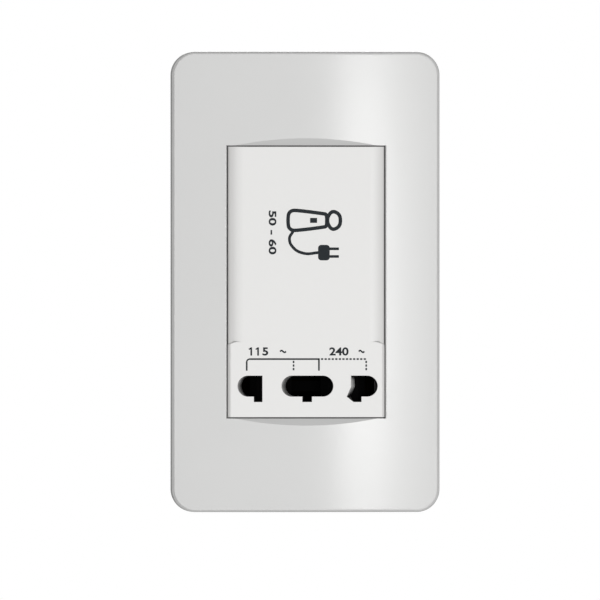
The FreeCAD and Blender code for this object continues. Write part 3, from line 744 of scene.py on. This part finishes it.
def cutEntries(body):
    faceY, through = insert["faceY"], insert["socketThickness"] + overlap
    radius, z, bottomZ, topZ = entries["radius"], entries["z"], entries["bottomZ"], entries["bladeTopZ"]
    depth, shift, bladeShift = entries["leadInDepth"], entries["leadIn"], entries["bladeLeadIn"]
    for x, flatRight in ((entries["left"], True), (entries["centre"], False)):
        cutter = makeSlotCutter(x, flatRight, faceY)
        middle = x[0] + radius
        extrudeBack(cutter, faceY, depth, through, lambda co: shift if co.x <= (middle + hair) * mm else 0)
        combine(body, cutter)
    for x in (entries["leftBlade"], entries["centreBlade"]):
        cutter = makeOutlineCutter(
            "bladeCutter", [(x[0], bottomZ), (x[1], bottomZ), (x[1], topZ), (x[0], topZ)], faceY,
        )
        extrudeBack(cutter, faceY, depth, through, lambda co: bladeShift if near(co.x, x[0]) else 0)
        combine(body, cutter)
    (left, right), blade, slant = entries["right"], entries["rightBlade"], entries["slantLeadIn"]
    outline = makeArcPoints(right - radius, z, radius, -90, 90, entries["roundSides"] // 2)
    outline += [
        (left, z + radius), (left, entries["slantStartZ"]), entries["slantCorner"],
        (blade[0], bottomZ), (blade[1], bottomZ), (blade[1], z - radius),
    ]
    cutter = makeOutlineCutter("slantCutter", outline, faceY)

    def slantShift(co):        # the blade slot's corner moves a third as far
        if near(co.x, blade[0]) and near(co.z, bottomZ):
            return slant / 3
        return slant if near(co.x, left) or near(co.x, entries["slantCorner"][0]) else 0

    extrudeBack(cutter, faceY, entries["slantDepth"], through, slantShift)
    combine(body, cutter)


def makeShoulderCutter():        # what is taken off the right shoulder, above the lower panel
    halfW, faceY, topZ = insert["width"] / 2, insert["faceY"], insert["panelTopZ"]
    width, drop, fillet = insert["shoulderWidth"], insert["shoulderDrop"], insert["sideRadius"]
    radius = (width**2 + drop**2) / (2 * drop)
    flat = halfW - width
    lean = math.asin((width - fillet) / (radius - fillet))        # where the roll meets the side's rounding
    filletY = faceY + radius - (radius - fillet) * math.cos(lean)
    steps, sideSteps = insert["shoulderSteps"], insert["sideSteps"]
    profile = []
    for i in range(steps + 1):
        turn = lean * i / steps
        profile.append((flat + radius * math.sin(turn), faceY + radius * (1 - math.cos(turn))))
    for i in range(1, sideSteps + 1):
        turn = lean + (math.pi / 2 - lean) * i / sideSteps
        profile.append((halfW - fillet + fillet * math.sin(turn), filletY - fillet * math.cos(turn)))
    profile += [(halfW + past, filletY), (halfW + past, faceY - past), (flat, faceY - past)]
    cutterZ = (topZ - insert["shoulderFoot"], insert["height"] / 2 + past)
    cutter = makeProfileCutter("shoulder", profile, cutterZ)
    corner = insert["panelCornerRadius"]
    panelHalf = halfW - insert["panelCornerCut"] + corner
    panelY, panelZ = (faceY + drop, faceY + insert["panelDepth"]), (insert["panelFootZ"], topZ)
    panel = addBlock("panel", (-panelHalf, panelHalf), panelY, panelZ)
    bevelWhere(panel, lambda e: alongY(e) and near(e.verts[0].co.z, topZ), corner, plate["cornerSteps"])
    roundFront(panel, insert["panelEdge"], drop, insert["panelEdgeSteps"])
    insetFront(panel, hair, 3)
    combine(cutter, panel)
    return cutter


def roundFaceBlock(body):        # the side edges are rounder than the ends
    halfH, faceY = insert["height"] / 2, insert["faceY"]
    bevelWhere(
        body,
        lambda e: all(near(v.co.y, faceY) for v in e.verts) and near(e.verts[0].co.x, e.verts[1].co.x / mm),
        insert["sideRadius"], insert["sideSteps"],
    )
    rearmost = (faceY + insert["sideRadius"] + close) * mm
    bevelWhere(
        body, lambda e: all(near(abs(v.co.z), halfH) and v.co.y < rearmost for v in e.verts),
        insert["endRadius"], 3,
    )


def addSkirtDetails(body):        # springy catch arms, and windows for the housing's lugs
    halfW = insert["width"] / 2
    inner, tip = insert["innerX"], halfW + insert["catchReach"]
    slot, frontY, (catchFront, catchRear) = insert["armSlot"], insert["armFrontY"], insert["catchY"]
    endY = catchRear + insert["armGap"]
    for sx in (-1, 1):
        through = sorted((sx * (inner - past), sx * (halfW + past)))
        catchX = sorted((sx * (halfW - insert["catchRoot"]), sx * tip))
        windowX = sorted((sx * (inner + insert["lugWindowInset"]), sx * (halfW + past)))
        for sz in (-1, 1):
            z0 = sz * insert["catchZ"] - insert["catchLength"] / 2
            z1 = z0 + insert["catchLength"]
            for y, z in (
                ((frontY, endY + slot), (z0 - slot, z0)),
                ((frontY, endY + slot), (z1, z1 + slot)),
                ((endY, endY + slot), (z0 - slot, z1 + slot)),
            ):
                combine(body, addBlock("armSlot", through, y, z))
            catch = addBlock("catch", catchX, (catchFront, catchRear), (z0, z1))
            moveWhere(
                catch,
                lambda v: near(v.co.y, catchRear) and near(abs(v.co.x), tip),
                (-sx * insert["catchReach"] * insert["catchTaper"], 0, 0),
            )
            bevelWhere(catch, lambda e: all(near(abs(v.co.x), tip) for v in e.verts), insert["catchEdge"], 3)
            combine(body, catch, "UNION")
            windowZ = sorted(sz * z for z in insert["lugWindowZ"])
            combine(body, addBlock("lugWindow", windowX, insert["lugWindowY"], windowZ))


def makeInsert():
    halfW, halfH = insert["width"] / 2, insert["height"] / 2
    body = addBlock("insertFace", (-halfW, halfW), (insert["faceY"], insert["skirtEndY"]), (-halfH, halfH))
    roundFaceBlock(body)
    right = makeShoulderCutter()
    left = mirrorCopy(right, "shoulderLeft")
    combine(body, right)
    combine(body, left)
    reach = insert["ledgeReach"]
    outX, outZ = halfW + reach, halfH + reach
    ledge = addBlock("ledge", (-outX, outX), insert["ledgeY"], (-outZ, outZ))
    bevelWhere(ledge, alongY, reach, 6)
    combine(body, ledge, "UNION")
    innerX, innerZ, topZ = insert["innerX"], insert["innerZ"], insert["panelTopZ"]
    rear, faceY = insert["skirtEndY"] + past, insert["faceY"]
    upperY, lowerY = faceY + insert["upperThickness"], faceY + insert["socketThickness"]
    tongueX, tongueZ = insert["tongueX"], insert["tongueZ"]
    for name, x, y, z in (
        ("upper", (-innerX, innerX), (upperY, rear), (topZ, innerZ)),
        ("lower", (-innerX, innerX), (lowerY, rear), (-innerZ, topZ + overlap)),
        ("tongue", (-tongueX, tongueX), (insert["tongueY"], rear), (-tongueZ, tongueZ)),
    ):
        combine(body, addBlock(name, x, y, z))
    half = insert["postSize"] / 2
    for x in (insert["postX"], tuple(-x for x in reversed(insert["postX"]))):
        for z in insert["postZ"]:
            post = addBlock("post", x, (upperY - past, insert["postEndY"]), (z - half, z + half))
            bevelWhere(post, alongY, insert["postEdge"], 3)
            combine(body, post, "UNION")
    addSkirtDetails(body)
    cutEntries(body)
    tidyMesh(body, 20)
    return body


insertFace = makeInsert()
paint(insertFace, finishes["insert_shell"])
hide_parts("front_cover")
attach(insertFace, "socket")
print("insert made")


# Springs: flat strips folded to and fro, built at rest; the real ones close up as their slide moves
springs = {
    "strip": 0.3,
    "folds": 6,
    "foldRadius": 0.55,
    "roundSteps": 4,
    "margin": 0.2,
}


def makeSpring(node, along, across, fixedHigh):        # axes as numbers; which end stands still
    low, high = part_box(node)
    wide = 3 - along - across
    folds, half, margin = springs["folds"], springs["strip"] / 2 * mm, springs["margin"] * mm
    startFresh()
    bpy.ops.mesh.primitive_grid_add(x_subdivisions=folds, y_subdivisions=1, size=1)
    spring = settle(bpy.context.object, node + "_strip")
    ends = (low[along] + half, high[along] - half)
    for vert in spring.data.vertices:
        step = round((vert.co.x + 0.5) * folds)
        place = [0, 0, 0]
        place[along] = ends[0] + (high[along] - low[along] - 2 * half) * step / folds
        place[across] = high[across] - margin if step % 2 else low[across] + margin
        place[wide] = (high if vert.co.y > 0 else low)[wide]
        vert.co = place

    def isFold(edge):
        a, b = (v.co[along] for v in edge.verts)
        return near(a, b / mm) and not any(near(a, end / mm) for end in ends)

    bevelWhere(spring, isFold, springs["foldRadius"], springs["roundSteps"])
    applyModifier(spring, "SOLIDIFY", thickness=springs["strip"] * mm, offset=0, use_even_offset=True)
    tidyMesh(spring, 40)
    paint(spring, finishes["spring_steel"])
    fixed = [sum(pair) / 2 for pair in zip(low, high)]
    moving = list(fixed)
    fixed[along], moving[along] = (high[along], low[along]) if fixedHigh else (low[along], high[along])
    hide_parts(node)
    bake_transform(spring)
    return spring


makeSpring("shutter_spring_left", 0, 2, True)
makeSpring("shutter_spring_right", 0, 2, False)
makeSpring("plunger_spring", 1, 0, True)
print("springs made")


# Printed marks: two brackets that pair the entries, plain numbers and a picture of a shaver
marks = {
    "thickness": 0.03,
    "lineWidth": 0.39,
    "bracketZ": -20.1,
    "footZ": -23.1,
    "solid": (-15.55, 3.3),
    "dotted": (-3.32, 15.65),
    "cornerRadius": 0.8,
    "dash": 0.56,
    "pitch": 0.93,
    "firstStep": 0.83,
    "firstDrop": 0.75,
    "numberZ": (-19.17, -17.06),
    "ones": (-14.37, -12.58),
    "oneWidth": 0.4,
    "oneFlag": ((-0.62, -0.5), (-0.3, -0.32), (-0.02, -0.1)),
    "oneFlagWidth": 0.34,
    "numbers": {"5": (-11.43, -9.97), "240": (6.03, 11.02)},
    "waves": ((-6.86, -5.3), (13.7, 15.17)),
    "waveSwing": 0.25,
    "waveWidth": 0.42,
    "sideText": "50 - 60",
    "sideTextX": (-9.8, -7.8),
    "sideTextZ": (7.2, 18.6),
    "textSize": 2,
    "textSwell": 0.05,
}


def printFlat(name, x, z):        # a flat printed patch on the face
    faceY = insert["faceY"]
    return addBlock(name, x, (faceY - marks["thickness"], faceY + marks["thickness"]), z)


def printStroke(name, points, width, closed=False):        # a drawn line with round ends
    startFresh()
    bpy.ops.curve.primitive_bezier_curve_add()
    line = bpy.context.object
    spline = line.data.splines[0]
    spline.bezier_points.add(len(points) - 2)
    for knot, (x, z) in zip(spline.bezier_points, points):
        knot.co = (x * mm, z * mm, 0)
        knot.handle_left_type = knot.handle_right_type = "AUTO"
    spline.use_cyclic_u = closed
    line.data.resolution_u = 12
    line.data.bevel_depth, line.data.bevel_resolution = width / 2 * mm, 3
    line.data.use_fill_caps = True
    bpy.ops.object.convert(target="MESH")
    line = bpy.context.object
    line.scale = (1, 1, marks["thickness"] / (width / 2))
    bpy.ops.object.transform_apply(location=False, rotation=False, scale=True)
    line.rotation_euler = (math.radians(90), 0, 0)
    line.location = (0, insert["faceY"] * mm, 0)
    return settle(line, name)


def printText(name, words, x, z, sideways=False):
    startFresh()
    bpy.ops.object.text_add()
    line = bpy.context.object
    line.data.body = words
    line.data.size, line.data.offset = marks["textSize"] * mm, marks["textSwell"] * mm
    line.data.extrude = marks["thickness"] * mm
    bpy.ops.object.convert(target="MESH")
    line = bpy.context.object
    line.rotation_euler = (math.radians(90), math.radians(90) if sideways else 0, 0)
    settle(line, name)
    corners = [v.co for v in line.data.vertices]
    lowX, highX = min(c.x for c in corners), max(c.x for c in corners)
    lowZ, highZ = min(c.z for c in corners), max(c.z for c in corners)
    scaleX = (x[1] - x[0]) * mm / (highX - lowX)
    scaleZ = (z[1] - z[0]) * mm / (highZ - lowZ)
    line.scale = (scaleX, 1, scaleZ)
    line.location = (x[0] * mm - lowX * scaleX, insert["faceY"] * mm, z[0] * mm - lowZ * scaleZ)
    return settle(line, name)


def makeBrackets():
    half = marks["lineWidth"] / 2
    top, foot, corner = marks["bracketZ"], marks["footZ"], marks["cornerRadius"]
    left, right = marks["solid"]
    corners = makeArcPoints(left + corner, top - corner, corner, 90, 180, 6)
    pieces = [
        printFlat("solidTop", (left + corner, right + half), (top - half, top + half)),
        printFlat("solidLeft", (left - half, left + half), (foot, top - corner)),
        printFlat("solidRight", (right - half, right + half), (foot, top)),
        printStroke("solidCorner", corners, marks["lineWidth"]),
    ]
    dottedLeft, dottedRight = marks["dotted"]
    step, dash = marks["pitch"], marks["dash"]
    x = right + marks["firstStep"]
    while x < dottedRight:
        pieces.append(printFlat("dash", (x - dash / 2, x + dash / 2), (top - half, top + half)))
        x += step
    for side in (dottedLeft, dottedRight):
        z = top - marks["firstDrop"]
        while z > foot - 0.1:
            pieces.append(printFlat("dash", (side - half, side + half), (z - dash / 2, z + dash / 2)))
            z -= step
    return pieces


def makeWave(x):        # the sign for alternating current
    middle = sum(marks["numberZ"]) / 2
    quarter = (x[1] - x[0]) / 4
    points = [(x[0] + i * quarter, middle + marks["waveSwing"] * math.sin(i * math.pi / 2)) for i in range(5)]
    return printStroke("wave", points, marks["waveWidth"])


def makeOne(x):        # a plain figure 1 with a short flag
    low, high = marks["numberZ"]
    half = marks["oneWidth"] / 2
    stem = printFlat("oneStem", (x - half, x + half), (low, high))
    flag = printStroke("oneFlag", [(x + dx, high + dz) for dx, dz in marks["oneFlag"]], marks["oneFlagWidth"])
    return [stem, flag]


# The shaver's picture is drawn upright in u and v, and lies on its side on the face
picture = {
    "centreX": 1.9,
    "centreZ": 12.25,
    "stroke": 0.95,
    "bodyU": (-6.4, -1.2),
    "bodyV": (-6.6, 3.4),
    "topCorner": (1.5, 0.6),
    "lowCorner": 1.5,
    "head": ((-5.8, 4.5), (-5.7, 6.2), (-3.8, 7.0), (-1.9, 6.2), (-1.8, 4.5)),
    "switch": ((-3.8, -0.9), (-3.8, 0.9)),
    "switchStroke": 1.3,
    "cord": ((-0.9, -5.4), (1.0, -6.3), (3.4, -5.2), (4.8, -2.4), (4.6, 1.2)),
    "cordStroke": 0.76,
    "plugU": (2.6, 6.6),
    "plugV": (1.2, 4.2),
    "plugCorner": 0.8,
    "pinsU": (3.6, 5.6),
    "pinV": (4.2, 6.6),
    "pinStroke": 0.7,
}


def placePicture(u, v):        # turned a quarter clockwise
    return picture["centreX"] + v, picture["centreZ"] - u


def drawPicture(name, points, width, closed=False):
    return printStroke(name, [placePicture(u, v) for u, v in points], width, closed)


def makePicture():
    stroke, low = picture["stroke"], picture["lowCorner"]
    (u0, u1), (v0, v1) = picture["bodyU"], picture["bodyV"]
    inset, top = picture["topCorner"]
    outline = makeArcPoints(u1 - inset, v1 - top, top, 0, 90, 3)
    outline += makeArcPoints(u0 + inset, v1 - top, top, 90, 180, 3)
    outline += makeArcPoints(u0 + low, v0 + low, low, 180, 270, 4)
    outline += makeArcPoints(u1 - low, v0 + low, low, 270, 360, 4)
    plugX, plugZ = zip(*(placePicture(u, v) for u, v in zip(picture["plugU"], picture["plugV"])))
    pieces = [
        drawPicture("shaverBody", outline, stroke, closed=True),
        drawPicture("shaverHead", picture["head"], stroke, closed=True),
        drawPicture("shaverSwitch", picture["switch"], picture["switchStroke"]),
        drawPicture("shaverCord", picture["cord"], picture["cordStroke"]),
        printFlat("plugBody", sorted(plugX), sorted(plugZ)),
    ]
    bevelWhere(pieces[-1], alongY, picture["plugCorner"], 6)
    for u in picture["pinsU"]:
        pieces.append(drawPicture("plugPin", [(u, v) for v in picture["pinV"]], picture["pinStroke"]))
    return pieces


def makeMarks():
    pieces = makeBrackets() + makePicture()
    pieces += [printText("number", words, x, marks["numberZ"]) for words, x in marks["numbers"].items()]
    pieces += [piece for x in marks["ones"] for piece in makeOne(x)]
    pieces += [makeWave(x) for x in marks["waves"]]
    pieces.append(
        printText("ratingText", marks["sideText"], marks["sideTextX"], marks["sideTextZ"], sideways=True)
    )
    joinInto(pieces[0], pieces[1:])
    pieces[0].name = pieces[0].data.name = "printedMarks"
    return pieces[0]


printedMarks = makeMarks()
paint(printedMarks, inkFinish)
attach(printedMarks, "socket")
print("marks made")


# Camera, floor and light
view = {
    "azimuth": -3.3,
    "distance": 5000.0,
    "aimX": -1.435,
    "aimY": -5.0,
    "aimZ": -4.7,
    "lens": 1150.0,
    "sensor": 36.0,
}
turn = math.radians(view["azimuth"])
startFresh()
bpy.ops.object.camera_add(
    location=(
        (view["aimX"] + view["distance"] * math.sin(turn)) * mm,
        (view["aimY"] - view["distance"] * math.cos(turn)) * mm,
        view["aimZ"] * mm,
    ),
    rotation=(math.radians(90), 0, turn),
)
camera = bpy.context.object
camera.data.lens = view["lens"]
camera.data.sensor_width = view["sensor"]
camera.data.clip_start = 0.01
bpy.context.scene.camera = camera

floor = {"radius": 150.0, "z": -140.0, "shade": 0.85, "roughness": 0.9}
floorDisc = addDisc("floorDisc", 96, floor["radius"], (0, 0, floor["z"]))
paint(floorDisc, makePlain("floorPaint", floor["shade"], floor["roughness"]))

lights = {
    "front": {"place": (250, -1630, -150), "size": (2200, 2000), "power": 24.6},
    "band": {"place": (276, -1250, 1), "size": (169, 142), "power": 0.5},
    "bandEdge": {"place": (431, -1240, 1), "size": (142, 142), "power": 0.118},
    "rear": {"place": (0, 1400, 900), "size": (600, 600), "power": 13.0},
}
for name, lamp in lights.items():
    startFresh()
    bpy.ops.object.light_add(type="AREA", location=[c * mm for c in lamp["place"]])
    light = bpy.context.object
    light.name = name + "Light"
    light.data.shape = "RECTANGLE"
    light.data.size, light.data.size_y = (s * mm for s in lamp["size"])
    light.data.energy = lamp["power"]
    light.rotation_euler = light.location.to_track_quat("Z", "Y").to_euler()
    light.visible_camera = False

# Black cards beside and behind the object, as a studio has them, so that pale edges stand out
cards = {
    "leftCard": ((-460, -450), (250, 650), (-450, 450)),
    "rightCard": ((450, 460), (220, 650), (-450, 450)),
    "topCard": ((-450, 450), (-120, 650), (450, 460)),
    "lowCard": ((-450, 450), (0, 650), (-460, -450)),
    "backCard": ((-450, 450), (650, 660), (-450, 450)),
    "leftFlag": ((-3600, -880), (-1610, -1600), (-1600, 1600)),
    "rightFlag": ((880, 3600), (-1610, -1600), (-1600, 1600)),
}
cardShades = {"backCard": 0.3}
for name, spans in cards.items():
    panel = addBlock(name, *spans)
    paint(panel, makePlain(name + "Paint", cardShades.get(name, 0.01), 1))
    panel.visible_camera = False
    panel.visible_diffuse = False
    panel.visible_shadow = False
    panel.visible_transmission = False

backdrop = {"seen": 1, "unseen": 0.4}
world = bpy.data.worlds.new("studio")
bpy.context.scene.world = world
world.use_nodes = True
nodes = world.node_tree.nodes
background = nodes["Background"]
setSockets(background.inputs, {"Color": (1, 1, 1, 1), "Strength": backdrop["unseen"]})
white = addNode(nodes, "Background", {"Color": (1, 1, 1, 1), "Strength": backdrop["seen"]})
path = addNode(nodes, "LightPath")
seen = addMath(nodes, "MAXIMUM", path["Is Camera Ray"], path["Is Glossy Ray"])
seenAll = addMath(nodes, "MAXIMUM", seen, path["Is Transmission Ray"])
mix = addNode(nodes, "MixShader", {"Fac": seenAll, 1: background.outputs[0], 2: white[0]})
setSockets(nodes["World Output"].inputs, {"Surface": mix[0]})
bpy.context.scene.view_settings.view_transform = "Standard"
print("stage set")
